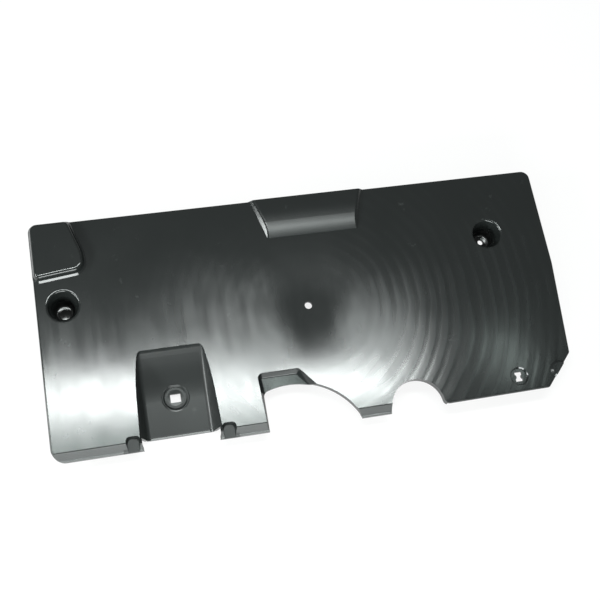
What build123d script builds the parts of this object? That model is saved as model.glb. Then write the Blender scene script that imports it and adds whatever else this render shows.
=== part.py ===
"""Underbody panel: one black plastic moulding, lying face up on its fixing seats.

X runs along the panel, Y from its fixing edge to its plain long edge, and Z up out of the face.
The origin is under the middle of the panel, on the plane that the fixing seats stand on.
"""
import os
from math import asin, atan2, cos, degrees, radians, sin, tan

from build123d import *

# Sheet
panel_length = 602.0
panel_depth = 272.0
wall = 3.0
face_height = 30.0
back_corner_radius = 10.0
front_corner_radius = 15.0
face_edge_radius = 2.0
rim_drop = 9.0

# Right end: a slight taper that starts half way down it, and a cut corner
taper_from_edge = 149.5
taper_inset = 8.0
taper_radius = 100.0
corner_cut_length = 34.0
corner_cut_depth = 37.0
corner_edge_skew = 1.5
corner_cut_radius = 4.0

# Step down along the fixing edge
step_inset = 9.0
step_drop = 8.0
step_run = 7.0
step_edge_radius = 2.0
step_lip = 1.5

# Raised pad at the left end of the plain edge
pad_rise = 9.0
pad_depth = 70.0
pad_front_skew = 6.5
pad_back_length = 46.0
pad_front_length = 59.0
pad_knee_from_front = 29.0
pad_knee_radius = 35.0
pad_corner_radius = 14.0
pad_end_radius = 8.0
pad_wall_run = 3.0
pad_edge_radius = 3.5
pad_foot_run = 1.3

# Rounded bulge on the plain edge
bulge_x = 21.5
bulge_depth = 51.0
bulge_front_length = 107.0
bulge_back_length = 135.0
bulge_rise = 4.0
bulge_back_rise = 3.0
bulge_crest_depth = 30.0
bulge_end_run = 4.5
bulge_end_radius = 4.0

# Sloping bay that opens on the fixing edge
bay_from_end = 138.5
bay_floor_width = 72.0
bay_side_lean = 17.5
bay_reach = 109.0
bay_setback = 13.5
bay_heel_from_back = 30.0
bay_heel_depth = 18.5
bay_heel_radius = 120.0
bay_corner_radius = 6.0
bay_lip = 1.8

# Square fixing hole in a countersunk round dish on the bay's floor, with a raised rim
square_hole_from_edge = 56.5
square_hole_width = 11.5
square_hole_length = 9.5
square_dish_diameter = 24.0
square_dish_depth = 2.5
square_sink_diameter = 18.0
square_sink_depth = 1.3
square_rim_rise = 0.8
square_rim_width = 0.6
square_rim_side_run = 1.05

# Square-ended flutes in the step, one on each side of the bay
flute_width = 16.0
flute_reach = 16.0
flute_depth = 9.0
flute_back_depth = 7.5
flute_wall_run = 2.0
flute_corner_radius = 5.0
flute_overlap = 0.5

# Screw cup at the right end and blind cup at the left end, placed from the end and from the plain edge
left_cup_from_end = 29.5
left_cup_from_back = 100.0
right_cup_from_end = 71.5
right_cup_from_back = 76.0
cup_mouth_diameter = 35.0
cup_floor_diameter = 19.0
cup_lip_radius = 2.5
cup_floor_radius = 3.0
cup_hole_diameter = 6.6
cup_dome_diameter = 14.0
cup_dome_rise = 0.28

# Vent hole in the middle of the face
vent_hole_diameter = 8.5

# Sunken ledge beside the wide arch, placed from the arch's middle and from the fixing edge
arch_x = -37.0
arch_centre_drop = 32.5
arch_radius = 82.4
arch_left_reach = 29.5
arch_corner_radius = 8.0
ledge_left_reach = 34.5
ledge_front_reach = 31.0
ledge_right_reach = 13.0
ledge_end_reach = 30.5
ledge_back_from_edge = 65.0
ledge_end_from_edge = 43.5
ledge_depth = 8.0
ledge_tilt = 5.0
ledge_wall_run = 4.5
ledge_corner_radius = 6.0
ledge_floor_radius = 2.0

# Half-round cut-out
half_round_x = 103.0
half_round_from_edge = 2.7
half_round_radius = 30.5
half_round_corner_radius = 6.0

# Waisted fixing hole in a round dish near the cut corner
waist_hole_from_end = 75.0
waist_hole_from_edge = 19.0
waist_hole_width = 8.6
waist_hole_length = 11.0
waist_nib_radius = 3.0
waist_nib_reach = 1.6
waist_dish_diameter = 19.0
waist_dish_depth = 2.5

# Flared rims of the two dishes
dish_flare = 1.2

# Low bump on the cut corner
bump_from_end = 26.0
bump_from_edge = 20.5
bump_radius = 10.5
bump_rise = 2.5
bump_side_run = 2.5

# Edges of the sheet seen from above, and how far a cutting body reaches past them
left_x = -panel_length / 2
right_x = panel_length / 2
back_y = panel_depth / 2
front_y = -panel_depth / 2
cut_front_x = right_x - taper_inset - corner_cut_length
past = 20.0


def polygon(points):
    return make_face(Polyline(*points, close=True))


def upright(face, low, high):
    """A straight body over a plan outline, between two heights."""
    return extrude(Plane.XY.offset(low) * face, high - low)


def leaning(face, start, end, run):
    """A body over a plan outline whose sides lean in by run from the first height to the second."""
    lean = degrees(atan2(run, abs(end - start)))
    return extrude(Plane.XY.offset(start) * face, end - start, taper=lean)


def bar(section, x_from, x_to):
    """A bar along X whose section is a face drawn in Y and Z."""
    return extrude(Plane.YZ.offset(x_from) * section, x_to - x_from)


def mitre(rise, run):
    """How far a corner moves sideways when both of its faces move in by one unit."""
    return tan(atan2(rise, run) / 2)


def rounded(outline, corner, radius):
    """A plan outline with one of its corners rounded."""
    return fillet(outline.vertices().sort_by_distance(corner)[0], radius)


# The step down along the fixing edge, from the left end as far as the half-round cut-out
def space_over_step(lower):
    top = face_height - lower
    crease = front_y + step_inset + lower * mitre(step_drop, step_run)
    foot = top - step_drop
    lip_y = front_y + step_lip
    outside = front_y - past
    slope = atan2(step_drop, step_run)
    round_y = crease + step_edge_radius * tan(slope / 2)
    arc = [
        (round_y - step_edge_radius * sin(turn), top - step_edge_radius * (1 - cos(turn)))
        for turn in (0, slope / 2, slope)
    ]
    outline = ThreePointArc(*arc) + Polyline(
        arc[-1],
        (crease - step_run, foot),
        (lip_y, foot),
        (outside, foot - (lip_y - outside)),
        (outside, top + past),
        (round_y, top + past),
        arc[0],
    )
    return bar(make_face(outline), left_x - past, half_round_x)


# The raised pad, which leans in from the panel's end and from its plain edge
def pad(lower):
    """The pad, drawn from the sheet's back left corner and then moved there."""
    knee_y = pad_knee_from_front - pad_depth
    front_end = (0, -pad_depth)
    corner = (pad_front_length, pad_front_skew - pad_depth)
    knee = (pad_front_length, knee_y)
    back_end = (pad_back_length, 0)
    outline = polygon([front_end, corner, knee, back_end, (0, 0)])
    outline = rounded(outline, corner, pad_corner_radius)
    outline = rounded(outline, knee, pad_knee_radius)
    outline = rounded(outline, (0, 0), back_corner_radius)
    outline = rounded(outline, front_end, pad_end_radius)
    outline = rounded(outline, back_end, pad_end_radius)
    if lower > 0:
        outline = offset(outline, -lower * mitre(pad_rise, pad_wall_run), kind=Kind.INTERSECTION)
    body = leaning(outline, 0, pad_rise, pad_wall_run)
    if lower == 0:
        body = fillet(body.faces().sort_by(Axis.Z)[-1].edges(), pad_edge_radius)
        outline = offset(outline, pad_foot_run)
        body += leaning(outline, 0, 2 * pad_foot_run, 2 * pad_foot_run)
    body += upright(outline, -face_edge_radius - wall, 0)
    return Pos(left_x, back_y, face_height - lower) * body


# The bulge: a low pillow with sloping ends, which runs out into the face and at the plain edge
def bulge(lower):
    """The bulge, drawn from the middle of its back edge and then moved there."""
    crest = (-bulge_crest_depth, bulge_rise)
    bottom = -face_edge_radius - wall

    def shoulder(run, fall, end_run):
        """Arc that leaves the crest level, falls so much over the run, and goes on to the end."""
        radius = (run * run + fall * fall) / (2 * fall)
        turn = asin(end_run / radius)
        places = [
            (crest[0] + radius * sin(share * turn), crest[1] - abs(radius) * (1 - cos(share * turn)))
            for share in (0, 0.5, 1)
        ]
        return ThreePointArc(*places), places[-1]

    front_run = bulge_crest_depth - bulge_depth
    front, front_low = shoulder(front_run, bulge_rise, front_run - wall)
    back, back_low = shoulder(bulge_crest_depth, bulge_rise - bulge_back_rise, bulge_crest_depth + past)
    section = make_face(
        front + back + Polyline(back_low, (back_low[0], bottom), (front_low[0], bottom), front_low)
    )
    spread = (bulge_back_length - bulge_front_length) / 2 / bulge_depth
    front_half = bulge_front_length / 2 - spread * past
    back_half = bulge_back_length / 2 + spread * past
    ends = polygon(
        [
            (-front_half, -bulge_depth - past),
            (front_half, -bulge_depth - past),
            (back_half, past),
            (-back_half, past),
        ]
    )
    end_slope = bulge_end_run / bulge_rise
    ends = offset(ends, -bottom * end_slope, kind=Kind.INTERSECTION)
    between = leaning(ends, bottom, past, (past - bottom) * end_slope)
    body = bar(section, -back_half - past, back_half + past) & between
    body = fillet(body.edges().filter_by(GeomType.ELLIPSE), bulge_end_radius)
    return Pos(bulge_x, back_y, face_height - lower) * body


# The sheet: the body under its top surface, hollowed from below and open under its rim
def sheet_outline():
    taper_start = (right_x, front_y + taper_from_edge)
    cut_back = (right_x - taper_inset, front_y + corner_edge_skew + corner_cut_depth)
    cut_front = (cut_front_x, front_y + corner_edge_skew)
    outline = polygon(
        [
            (left_x, front_y),
            (half_round_x, front_y),
            cut_front,
            cut_back,
            taper_start,
            (right_x, back_y),
            (left_x, back_y),
        ]
    )
    outline = rounded(outline, taper_start, taper_radius)
    for place in (cut_back, cut_front):
        outline = rounded(outline, place, corner_cut_radius)
    for place in ((left_x, back_y), (right_x, back_y)):
        outline = rounded(outline, place, back_corner_radius)
    return rounded(outline, (left_x, front_y), front_corner_radius)


def hollow_outline():
    """The sheet drawn in by a wall, but for the fixing edge, which has no rim."""
    strip_depth = past + front_corner_radius
    strip = Pos(0, front_y - past) * Rectangle(
        panel_length + 2 * past, strip_depth, align=(Align.CENTER, Align.MIN)
    )
    return offset(sheet_outline(), -wall, kind=Kind.INTERSECTION) + strip


def under_face(outline, lower):
    """The body under the flat face and the step."""
    return upright(outline, 0, face_height - lower) - space_over_step(lower)


def raised_over(outline, lower):
    """The pad and the bulge, as far as they lie within a plan outline."""
    within = upright(outline, 0, face_height + pad_rise + bulge_rise)
    return (pad(lower) & within) + (bulge(lower) & within)


def under_skin():
    """The body under the whole top surface, with its upper edges rounded."""
    body = upright(sheet_outline(), 0, face_height)
    body = fillet(body.faces().sort_by(Axis.Z)[-1].edges(), face_edge_radius)
    return body - space_over_step(0) + raised_over(sheet_outline(), 0)


skin = under_skin()
hollow = under_face(hollow_outline(), wall) + raised_over(hollow_outline(), wall)
sheet = skin - hollow - under_face(sheet_outline(), rim_drop)

# Cut-outs in the fixing edge
arch = Pos(arch_x, front_y - arch_centre_drop) * Circle(arch_radius)
arch &= Pos(arch_x - arch_left_reach, front_y) * Rectangle(
    2 * arch_radius, 2 * arch_radius, align=(Align.MIN, Align.CENTER)
)
arch = fillet(arch.vertices().group_by(Axis.Y)[-1], arch_corner_radius)
half_circle = Pos(half_round_x, front_y + half_round_from_edge) * Rot(0, 0, 90) * Circle(half_round_radius)
half_round_end_x = half_round_x + half_round_radius + 2 * half_round_corner_radius
edge_rise = corner_edge_skew * (half_round_end_x - half_round_x) / (cut_front_x - half_round_x)
half_round = half_circle + polygon(
    [
        (half_round_x, front_y),
        (half_round_end_x, front_y + edge_rise),
        (half_round_end_x, front_y - past),
        (half_round_x, front_y - past),
    ]
)
half_round = rounded(half_round, (half_round_x + half_round_radius, front_y), half_round_corner_radius)


def rim_round(cut_out):
    """The rim that is turned down along a cut-out."""
    band = offset(cut_out, wall)
    return upright(band, face_height - rim_drop, face_height) & skin


# Recesses: each is cut from the sheet, and the same form grown by a wall gives it its own walls
bay_x = left_x + bay_from_end
bay_back_y = front_y + bay_reach
bay_front_y = front_y + bay_setback
bay_front_depth = face_height - wall
bay_heel_y = bay_back_y - bay_heel_from_back
bay_slope = (bay_front_depth - bay_heel_depth) / (bay_heel_y - bay_front_y)
bay_tilt = degrees(atan2(bay_slope, 1))


def bay_depth(y):
    """Depth of the bay's floor in front of its heel."""
    return bay_heel_depth + bay_slope * (bay_heel_y - y)


def bay(grow):
    """The bay, cut out past the fixing edge; its walls stop short of that edge."""
    top = face_height - grow
    front = bay_front_y if grow > 0 else front_y - past
    heel = (bay_heel_y, top - bay_heel_depth)
    back_slope = bay_heel_depth / bay_heel_from_back
    section = polygon(
        [
            (bay_back_y + past / back_slope, top + past),
            heel,
            (front, top - bay_depth(front)),
            (front, top + past),
        ]
    )
    section = rounded(section, heel, bay_heel_radius)
    half = bay_floor_width / 2 + grow
    body = bar(section, bay_x - half, bay_x + half)
    for side in (-1, 1):
        wall_line = (side * tan(radians(bay_side_lean)), 0, 1)
        body += extrude(Plane.YZ.offset(bay_x + side * half) * section, 2 * face_height, dir=wall_line)
    floor_edges = body.edges().filter_by_position(Axis.Z, 0, top + past / 2)
    sides = floor_edges.filter_by_position(Axis.X, bay_x - half, bay_x - half)
    sides += floor_edges.filter_by_position(Axis.X, bay_x + half, bay_x + half)
    return fillet(sides, bay_corner_radius + grow)


def flute(side, grow):
    mouth_half = bay_floor_width / 2 + bay_front_depth * tan(radians(bay_side_lean))
    x = bay_x + side * (mouth_half + flute_width / 2 - flute_overlap)
    outline = Pos(x, front_y + flute_reach) * Rectangle(
        flute_width, flute_reach + past, align=(Align.CENTER, Align.MAX)
    )
    outline = fillet(outline.vertices().group_by(Axis.Y)[-1], flute_corner_radius)
    if grow > 0:
        outline = offset(outline, grow, kind=Kind.INTERSECTION)
    floor = face_height - flute_depth - grow
    deep = flute_depth + grow + past
    body = leaning(outline, face_height, face_height - deep, flute_wall_run * deep / flute_depth)
    slope = (flute_depth - flute_back_depth) / flute_reach
    front = front_y - past
    back = front_y + flute_reach + past
    over_floor = polygon(
        [
            (front, floor - slope * (front_y - front)),
            (back, floor + slope * (back - front_y)),
            (back, face_height + past),
            (front, face_height + past),
        ]
    )
    return body & bar(over_floor, x - flute_width, x + flute_width)


def ledge(grow):
    """The ledge, drawn level from its back edge, then tipped down towards the fixing edge."""
    front = -ledge_back_from_edge - past
    outline = polygon(
        [
            (-ledge_front_reach, front),
            (-ledge_left_reach, 0),
            (ledge_right_reach, 0),
            (ledge_end_reach, ledge_end_from_edge - ledge_back_from_edge),
            (ledge_end_reach, front),
        ]
    )
    outline = fillet(outline.vertices().group_by(Axis.Y)[-1], ledge_corner_radius)
    if grow > 0:
        outline = offset(outline, grow * mitre(ledge_depth, ledge_wall_run), kind=Kind.INTERSECTION)
    depth = ledge_depth + grow
    body = leaning(outline, 0, -depth, ledge_wall_run * depth / ledge_depth)
    body = fillet(body.faces().sort_by(Axis.Z)[0].edges(), ledge_floor_radius + grow)
    body += upright(outline, 0, past)
    return Pos(arch_x, front_y + ledge_back_from_edge, face_height) * Rot(ledge_tilt, 0, 0) * body


def cup(place, grow):
    x, y = place
    floor = wall - grow
    body = Cone(
        cup_floor_diameter / 2 + grow,
        cup_mouth_diameter / 2 + grow,
        face_height - floor,
        align=(Align.CENTER, Align.CENTER, Align.MIN),
    )
    body = fillet(body.edges().sort_by(Axis.Z)[0], cup_floor_radius)
    return Pos(x, y, floor) * body


def cup_dome():
    """The slight dome on the blind cup's floor."""
    radius = (cup_dome_diameter**2 / 4 + cup_dome_rise**2) / (2 * cup_dome_rise)
    ball = Pos(0, 0, cup_dome_rise - radius) * Sphere(radius)
    return ball & upright(Circle(cup_dome_diameter / 2), -wall / 2, wall)


def dish(diameter, depth, grow):
    """A round dish sunk from the level of a seat, with a flared rim."""
    radius = diameter / 2 + grow
    body = upright(Circle(radius), -depth - grow, past)
    if grow == 0:
        body += Cone(radius, radius + 2 * dish_flare, 2 * dish_flare)
    return body


def sink(grow):
    """The countersink in the floor of the bay's dish."""
    radius = square_sink_diameter / 2 + grow
    depth = radius * square_sink_depth / (square_sink_diameter / 2)
    floor = Pos(0, 0, -square_dish_depth - grow)
    return floor * Cone(0, radius, depth, align=(Align.CENTER, Align.CENTER, Align.MAX))


def square_rim():
    """The raised rim round the bay's dish, with a sloping outer side."""
    top_radius = square_dish_diameter / 2 + dish_flare + square_rim_rise + square_rim_width
    return Cone(top_radius + 2 * square_rim_side_run, top_radius, 2 * square_rim_rise)


left_cup_place = (left_x + left_cup_from_end, back_y - left_cup_from_back)
right_cup_place = (right_x - right_cup_from_end, back_y - right_cup_from_back)
square_place = (bay_x, front_y + square_hole_from_edge)
square_level = face_height - bay_depth(square_place[1])
square_plane = Plane(Location((*square_place, square_level), (bay_tilt, 0, 0)))
waist_place = (right_x - waist_hole_from_end, front_y + waist_hole_from_edge)
waist_plane = Plane((*waist_place, face_height))


def recesses(grow):
    bodies = [bay(grow), ledge(grow), flute(-1, grow), flute(1, grow)]
    bodies += [cup(left_cup_place, grow), cup(right_cup_place, grow)]
    return bodies


def dishes(grow):
    square_dish = dish(square_dish_diameter, square_dish_depth, grow) + sink(grow)
    waist_dish = dish(waist_dish_diameter, waist_dish_depth, grow)
    return [square_plane * square_dish, waist_plane * waist_dish]


panel = sheet
for cut_out in (arch, half_circle):
    panel += rim_round(cut_out)
for body in recesses(wall) + dishes(wall):
    panel += body & skin

# The bump stands on the face, beside the cut corner
bump_place = (right_x - bump_from_end, front_y + bump_from_edge)
bump = upright(Circle(bump_radius), face_height - wall, face_height)
bump += leaning(Circle(bump_radius), face_height, face_height + bump_rise, bump_side_run)
panel += (Pos(*bump_place) * bump) & upright(sheet_outline(), 0, face_height + bump_rise)

for body in recesses(0):
    panel -= body
panel += Pos(*left_cup_place, wall) * cup_dome()

# The rim stands on the bay's floor, and the dishes are sunk through it and through the face
panel += square_plane * square_rim()
for body in dishes(0):
    panel -= body

# Bevelled lip along the front of the bay's floor
lip_y = bay_front_y + bay_lip
lip_top = face_height - bay_depth(lip_y)
lip_front = bay_front_y - bay_lip
lip = polygon([(lip_y, lip_top), (lip_front, lip_top), (lip_front, lip_top - (lip_y - lip_front))])
lip_half = bay_floor_width / 2 + 2 * wall
panel -= bar(lip, bay_x - lip_half, bay_x + lip_half)


# Cut-outs and holes
def through(face):
    return upright(face, -past, face_height + past)


for face in (arch, half_round):
    panel -= through(face)
panel -= through(Pos(*right_cup_place) * Circle(cup_hole_diameter / 2))
panel -= through(Circle(vent_hole_diameter / 2))
panel -= through(Pos(*square_place) * Rectangle(square_hole_width, square_hole_length))
nib_x = waist_hole_width / 2 + waist_nib_radius - waist_nib_reach
waist_hole = Rectangle(waist_hole_width, waist_hole_length)
for side in (-1, 1):
    waist_hole -= Pos(side * nib_x, 0) * Circle(waist_nib_radius)
panel -= through(Pos(*waist_place) * waist_hole)

# Rounded mouths of the cups
rings = panel.edges().filter_by(GeomType.CIRCLE)
mouths = [
    rings.sort_by_distance((*place, face_height))[0] for place in (left_cup_place, right_cup_place)
]
panel = fillet(mouths, cup_lip_radius)

os.makedirs("parts", exist_ok=True)
export_step(panel, "parts/underbody_panel.step")
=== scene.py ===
"""Underbody panel: one black plastic moulding that lies face up on a pale floor, in metres."""
from math import pi, radians

import bpy
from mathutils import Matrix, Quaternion, Vector


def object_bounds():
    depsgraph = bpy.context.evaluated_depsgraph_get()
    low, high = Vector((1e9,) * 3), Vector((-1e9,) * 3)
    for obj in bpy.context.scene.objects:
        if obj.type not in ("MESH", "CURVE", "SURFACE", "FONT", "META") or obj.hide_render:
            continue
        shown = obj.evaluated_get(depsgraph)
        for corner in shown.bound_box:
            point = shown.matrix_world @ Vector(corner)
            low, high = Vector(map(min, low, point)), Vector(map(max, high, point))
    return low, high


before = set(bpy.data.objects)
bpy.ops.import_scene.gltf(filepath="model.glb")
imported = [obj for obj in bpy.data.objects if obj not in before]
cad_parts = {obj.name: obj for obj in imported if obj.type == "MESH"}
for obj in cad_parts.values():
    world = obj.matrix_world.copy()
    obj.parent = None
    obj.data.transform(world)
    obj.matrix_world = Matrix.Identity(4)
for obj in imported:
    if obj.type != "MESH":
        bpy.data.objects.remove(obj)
cad_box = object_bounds()


# The panel is one thin sheet of black polypropylene, moulded in a polished tool with a dull bay and step.
# The melt ran in at the middle of the face: it left cloudy patches on both sides of that place, and froze
# in faint rings about it, which show most towards the right end.
class Shade:
    """A socket of a node tree, so that sums of shader values can be written as plain expressions."""

    def __init__(self, tree, socket=None):
        self.tree = tree
        self.socket = socket

    def node(self, kind, settings, inputs, output=0):
        """A new node: its settings are set first, then the values or links of its sockets."""
        made = self.tree.nodes.new("ShaderNode" + kind)
        for name, value in settings.items():
            setattr(made, name, value)
        for name, value in inputs.items():
            if isinstance(value, Shade):
                self.tree.links.new(value.socket, made.inputs[name])
            else:
                made.inputs[name].default_value = value
        return Shade(self.tree, made.outputs[output] if made.outputs else None)

    def output(self, name):
        """Another output of the node that this socket belongs to."""
        return Shade(self.tree, self.socket.node.outputs[name])

    def maths(self, operation, *others):
        """A Math node's result for this value, with others where the operation takes more than one."""
        return self.node("Math", {"operation": operation}, dict(enumerate((self, *others))))

    def larger(self, other):
        return self.maths("MAXIMUM", other)

    def ramp(self, low, high):
        """0 at the first value and 1 at the second, with a smooth rise between."""
        settings = {"interpolation_type": "SMOOTHSTEP"}
        return self.node("MapRange", settings, {"Value": self, "From Min": low, "From Max": high})

    def fall(self, low, high):
        """1 at the first value and 0 at the second, with a smooth fall between."""
        return 1 - self.ramp(low, high)

    def between(self, low, high):
        """1 between two places and 0 outside them, with narrow soft borders."""
        border = 0.001
        return self.ramp(low - border, low + border) * self.fall(high - border, high + border)

    def lifted(self, least):
        """This share, lifted to run from a least value to 1."""
        return least + (1 - least) * self

    def noise(self, scale, detail, roughness=0.5):
        """Cloudy noise over this place, finer with a larger scale and more broken up with more detail."""
        inputs = {"Vector": self, "Scale": scale, "Detail": detail, "Roughness": roughness}
        return self.node("TexNoise", {}, inputs)

    def blend(self, first, second):
        """The first colour where this share is 0, and the second where it is 1."""
        share_in, first_in, second_in, colour_out = 0, 6, 7, 2
        inputs = {share_in: self, first_in: first, second_in: second}
        return self.node("Mix", {"data_type": "RGBA"}, inputs, colour_out)

    def __add__(self, other):
        return self.maths("ADD", other)

    def __sub__(self, other):
        return self.maths("SUBTRACT", other)

    def __rsub__(self, other):
        return self.node("Math", {"operation": "SUBTRACT"}, {0: other, 1: self})

    def __mul__(self, other):
        return self.maths("MULTIPLY", other)

    def __truediv__(self, other):
        return self.maths("DIVIDE", other)

    __radd__ = __add__
    __rmul__ = __mul__


def new_material(name):
    material = bpy.data.materials.new(name)
    material.use_nodes = True
    material.node_tree.nodes.clear()
    return material, Shade(material.node_tree)


(left_end, fixing_edge, floor_level), (right_end, plain_edge, pad_top) = cad_box
pad_rise = 0.009
step_reach = 0.013
face = pad_top - pad_rise
step_back = fixing_edge + step_reach

plastic, panel_shade = new_material("panel_plastic")
spot = panel_shade.node("NewGeometry", {}, {}, "Position")
axes = panel_shade.node("SeparateXYZ", {}, {"Vector": spot})
x, y, z = (axes.output(axis) for axis in "XYZ")
normal = panel_shade.node("SeparateXYZ", {}, {"Vector": spot.output("Normal")})
leaning = normal.output("X").maths("ABSOLUTE")
facing = normal.output("Z")
depth = face - z


def away_from(centre):
    """The distance from a centre, seen from above."""
    along, back = x - centre[0], y - centre[1]
    return (along * along + back * back).maths("SQRT")


def dull_areas():
    """1 where the tool was dull: in the bay, in the flutes beside it and over the whole underside."""
    bay_left, bay_right = left_end + 0.093, left_end + 0.184
    flute_left, flute_right = left_end + 0.075, left_end + 0.201
    bay_depths = (0.001, 0.003)
    flute_depths = (0.0055, 0.007)
    step_border = 0.004
    facing_down = (-0.2, 0.0)
    bay = x.between(bay_left, bay_right) * depth.ramp(*bay_depths)
    bay = bay * y.ramp(step_back, step_back + step_border)
    flutes = x.between(flute_left, bay_left) + x.between(bay_right, flute_right)
    flutes = flutes * depth.ramp(*flute_depths)
    underside = facing.fall(*facing_down)
    return bay.larger(underside).larger(flutes)


def step_slope():
    """1 on the slope of the step along the fixing edge, and 0 on upright and on flat faces."""
    back_border = 0.003
    off_upright = (0.3, 0.5)
    off_flat = (0.97, 0.995)
    return y.fall(step_back - back_border, step_back) * facing.ramp(*off_upright) * facing.fall(*off_flat)


def bulge_front():
    """1 on the bulge's front, less from its crest back to the plain edge, and 0 on its leaning ends."""
    left, right = left_end + 0.241, left_end + 0.401
    front_border = (plain_edge - 0.066, plain_edge - 0.056)
    foot_rises = (0.0003, 0.0010)
    end_leans = (0.15, 0.35)
    back_fade, back_share = (plain_edge - 0.039, plain_edge - 0.014), 0.2
    bulge = x.between(left, right) * y.ramp(*front_border) * (z - face).ramp(*foot_rises)
    return bulge * leaning.fall(*end_leans) * y.fall(*back_fade).lifted(back_share)


def cup_floors():
    """1 low down in the two cups, which little light reaches."""
    left_cup = (left_end + 0.0295, plain_edge - 0.100)
    right_cup = (right_end - 0.0715, plain_edge - 0.076)
    floor_radii = (0.012, 0.014)
    floor_depths = (0.015, 0.022)
    left, right = (away_from(cup).fall(*floor_radii) for cup in (left_cup, right_cup))
    return (left + right) * depth.ramp(*floor_depths)


gate = (0, 0)
radius = away_from(gate)
dull = dull_areas()
polished = 1 - dull
cups = cup_floors()
patches = spot.noise(scale=14.0, detail=3.0)
streak_stretch = 0.12
stretched_spot = panel_shade.node("CombineXYZ", {}, {"X": x, "Y": y * streak_stretch, "Z": z})
streaks = stretched_spot.noise(scale=80.0, detail=2.0)


def gate_rings():
    """Waves about the gate, a little out of round: above 0 on their crests and below 0 between them."""
    pitch = 0.014
    wander = 0.016
    overtone, overtone_share = 2.1, 0.25
    drift = spot.noise(scale=9.0, detail=2.0)
    phase = (radius + drift * wander) * (2 * pi / pitch)
    return phase.maths("SINE") + overtone_share * (phase * overtone).maths("SINE")


def rings_shown():
    """How far the rings show: in patches, off the gate, most towards the right end and the fixing edge."""
    patch_levels = (0.3, 0.65)
    gate_radii = (0.02, 0.10)
    right_rise, left_share = (0.02, 0.11), 0.14
    back_fade, back_share = (0.01, 0.11), 0.3
    shown = patches.ramp(*patch_levels) * radius.ramp(*gate_radii)
    return shown * x.ramp(*right_rise).lifted(left_share) * y.fall(*back_fade).lifted(back_share)


rings = gate_rings()
shown_rings = rings * rings_shown()


def fine_relief():
    """Heights of the rings, the shallow sink about the gate, the sheet's sags, flow streaks and the grain."""
    ring_height = 0.000022
    sink_depth, sink_width = 0.0009, 0.045
    sag_height = 0.00018
    streak_height = 0.00003
    grain_size, grain_height = 0.0006, 0.000012
    polished_grain = 0.15
    sink = (radius * radius * (-0.5 / sink_width**2)).maths("EXPONENT")
    sags = spot.noise(scale=11.0, detail=2.5)
    grain = spot.noise(scale=1 / grain_size, detail=1.0)
    flow = shown_rings * ring_height + sags * sag_height + streaks * streak_height - sink * sink_depth
    return flow * polished + grain * grain_height * dull.lifted(polished_grain)


def clouds():
    """Cloudy patches on the left and right of the gate, streaked, and fading towards the plain edge."""
    near_radii, far_radii = (0.020, 0.060), (0.06, 0.20)
    sideways_shares = (0.0, 0.8)
    back_fade, fade_lean = (-0.03, 0.09), 0.25
    levels = (0.3, 0.7)
    least_streaked, least_patched = 0.6, 0.5
    ripple = 0.08
    above_zero = 0.00001
    sideways = x * x / (radius * radius + above_zero)
    cloud = radius.ramp(*near_radii) * radius.fall(*far_radii) * sideways.ramp(*sideways_shares)
    cloud = cloud * (y + x * fade_lean).fall(*back_fade) * polished
    cloud = cloud * streaks.ramp(*levels).lifted(least_streaked) * patches.ramp(*levels).lifted(least_patched)
    return cloud * (1 - ripple + ripple * rings)


def scuffs():
    """Fine pale scuffs that lie along the streaks."""
    speck_levels = (0.62, 0.8)
    streak_levels = (0.4, 0.6)
    specks = spot.noise(scale=60.0, detail=6.0, roughness=0.7)
    return specks.ramp(*speck_levels) * streaks.ramp(*streak_levels)


cloud = clouds()
scuff = scuffs()
ring_tone = shown_rings * polished


def panel_colour():
    """Black, paler in the clouds, on ring crests and in scuffs; painted shade blackens the cup floors."""
    black = (0.0115, 0.0132, 0.0129, 1)
    cloudy = (0.026, 0.029, 0.029, 1)
    scuffed = (0.070, 0.075, 0.074, 1)
    unlit = (0, 0, 0, 1)
    cloud_tint, ring_tint, scuff_tint, cup_shade_share = 0.4, 0.16, 0.4, 0.8
    clouded = (cloud * cloud_tint + ring_tone * ring_tint).blend(black, cloudy)
    marked = (scuff * scuff_tint).blend(clouded, scuffed)
    # The cup floors are darkened towards black as painted shade, where little light reaches them.
    return (cups * cup_shade_share).blend(marked, unlit)


def panel_roughness():
    """Polished on the face, and rougher in the clouds, where the tool was dull and in the cups' bends."""
    polished_roughness = 0.14
    cloudy_roughness = 0.29
    bulge_roughness = 0.36
    dull_roughness = 0.37
    cup_floor_roughness = 0.08
    cup_bend_roughness = 0.50
    bend_facing = (0.95, 0.99)
    scuff_share, patch_share, ring_share = 0.03, 0.07, 0.01
    streak_share, left_streak_share = 0.03, 0.08
    left_fade, back_fade = (-0.28, -0.16), (0.0, 0.05)
    clear_spot, clear_radii, clear_polish = (0, -0.014), (0.015, 0.055), 0.04
    middle_level = 0.5

    finishes = (
        (cloud, cloudy_roughness),
        (dull, dull_roughness),
        (bulge_front(), bulge_roughness),
        (step_slope(), dull_roughness),
        (cups, cup_floor_roughness),
    )
    roughness = polished_roughness
    for share, finish in finishes:
        roughness = roughness + share * (finish - polished_roughness)
    bends = cups * facing.fall(*bend_facing)
    roughness = roughness + bends * (cup_bend_roughness - cup_floor_roughness)

    streak_shares = streak_share + left_streak_share * x.fall(*left_fade)
    streaked = (streaks - middle_level) * streak_shares * y.fall(*back_fade) * polished
    patched = (patches - middle_level) * patch_share
    cleared = away_from(clear_spot).fall(*clear_radii) * clear_polish
    return roughness + scuff * scuff_share + patched + streaked + ring_tone * ring_share - cleared


relief = panel_shade.node("Bump", {}, {"Strength": 1.0, "Distance": 1.0, "Height": fine_relief()})
panel_surface = panel_shade.node(
    "BsdfPrincipled",
    {},
    {"Base Color": panel_colour(), "Roughness": panel_roughness(), "Normal": relief, "IOR": 1.49},
)
panel_shade.node("OutputMaterial", {}, {"Surface": panel_surface})

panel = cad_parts["underbody_panel"]
for material_slot in panel.material_slots:
    material_slot.material = plastic


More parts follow.
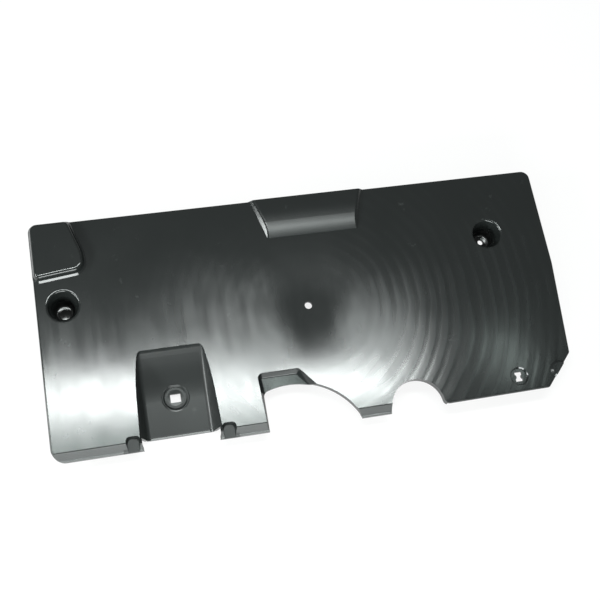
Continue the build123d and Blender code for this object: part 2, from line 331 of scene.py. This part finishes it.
# The floor is a plain pale sheet that runs far out past the panel, so that the camera sees no edge of it.
# It reads as white to the camera and in reflections, and still takes the panel's soft shadow.
def white_to_camera(shade):
    """1 on rays from the camera or from a mirror-like or clear surface, and 0 on rays that light things."""
    camera_ray = shade.node("LightPath", {}, {}, "Is Camera Ray")
    glossy_ray = camera_ray.output("Is Glossy Ray")
    clear_ray = camera_ray.output("Is Transmission Ray")
    return camera_ray.larger(glossy_ray.larger(clear_ray))


def floor_paper():
    pale = (0.82, 0.82, 0.81, 1)
    white = (1, 1, 1, 1)
    white_share = 0.85
    material, shade = new_material("floor_paper")
    lit = shade.node("BsdfDiffuse", {}, {"Color": pale})
    glow = shade.node("Emission", {}, {"Color": white, "Strength": 1.0})
    surface = shade.node("MixShader", {}, {0: white_to_camera(shade) * white_share, 1: lit, 2: glow})
    shade.node("OutputMaterial", {}, {"Surface": surface})
    return material


floor_reach = 6.0
corner_sides = [(-1, -1), (1, -1), (1, 1), (-1, 1)]
floor_corners = [(a * floor_reach, b * floor_reach, floor_level) for a, b in corner_sides]
floor_mesh = bpy.data.meshes.new("floor")
floor_mesh.from_pydata(floor_corners, [], [(0, 1, 2, 3)])
floor_mesh.materials.append(floor_paper())
floor = bpy.data.objects.new("floor", floor_mesh)
bpy.context.scene.collection.objects.link(floor)


# Light: a long window-like lamp over the panel, whose reflection lies along the fixing edge, with a weaker
# one before it, and small ones for the right end and the tipped ledge. Low soft lamps in front and at the
# left pick out the near edges, and the surround is even.
def area_lamp(name, place, target, size, brightness, colour, turn=0):
    """A soft lamp at a place, aimed at a target and turned about that line, with a surface so bright."""
    lamp = bpy.data.lights.new(name, "AREA")
    lamp.shape = "RECTANGLE"
    lamp.size, lamp.size_y = size
    lamp.energy = brightness * pi * size[0] * size[1]
    lamp.color = colour
    holder = bpy.data.objects.new(name, lamp)
    holder.location = place
    aim = (Vector(target) - Vector(place)).to_track_quat("-Z", "Y")
    holder.rotation_euler = (aim @ Quaternion((0, 0, 1), radians(turn))).to_euler()
    bpy.context.scene.collection.objects.link(holder)


def overhead_lamp(name, above, target, size, brightness, colour, turn=0):
    """A lamp over a place on the panel, aimed at a place on its face."""
    lamp_height = 1.5
    area_lamp(name, (*above, lamp_height), (*target, face), size, brightness, colour, turn)


daylight = (0.95, 1.0, 0.99)
cool_white = (0.84, 1.0, 0.95)
face_middle = (0, 0, face)
front_x, front_y = -0.15, -1.5
front_size = (1.3, 0.36)
overhead_lamp("window", above=(-0.08, 0.284), target=(-0.08, 0.15), size=(1.2, 0.10),
              brightness=47, colour=daylight, turn=-3.5)
overhead_lamp("window_low", above=(-0.10, 0.17), target=(-0.10, 0.08), size=(1.1, 0.14),
              brightness=6, colour=cool_white)
overhead_lamp("side_window", above=(0.79, 0.25), target=(0.3, 0.0), size=(0.14, 0.08),
              brightness=6, colour=cool_white)
overhead_lamp("ledge_window", above=(0.17, 0.0), target=(-0.04, -0.08), size=(0.16, 0.06),
              brightness=13, colour=cool_white)
for name, height, brightness in (("front", 0.60, 18), ("front_low", 0.22, 6)):
    area_lamp(name, (front_x, front_y, height), face_middle, front_size, brightness, daylight)
area_lamp("left", place=(-1.10, -0.20, 0.50), target=(0, -0.20, face), size=(0.8, 0.20),
          brightness=28, colour=daylight)

surround_strength = 0.18
surround_colour = (1, 1, 1, 1)
world = bpy.data.worlds.new("surround")
bpy.context.scene.world = world
world.use_nodes = True
world.node_tree.nodes.clear()
surround = Shade(world.node_tree)
camera_ray = surround.node("LightPath", {}, {}, "Is Camera Ray")
strength = camera_ray.lifted(surround_strength)
background = surround.node("Background", {}, {"Color": surround_colour, "Strength": strength})
surround.node("OutputWorld", {}, {"Surface": background})


# The camera looks down on the panel from in front of its left half, through a slightly long lens.
# It stands a little over a metre up, turned so that the panel's long edges rise to the right.
camera_turns = (19.314, -7.013, -10.152)
camera_data = bpy.data.cameras.new("camera")
camera_data.sensor_width = 36
camera_data.lens = 61.5
camera = bpy.data.objects.new("camera", camera_data)
camera.location = (-0.2092, -0.3493, 1.1250)
camera.rotation_euler = [radians(turn) for turn in camera_turns]
bpy.context.scene.collection.objects.link(camera)
bpy.context.scene.camera = camera
bpy.context.scene.view_settings.view_transform = "Standard"
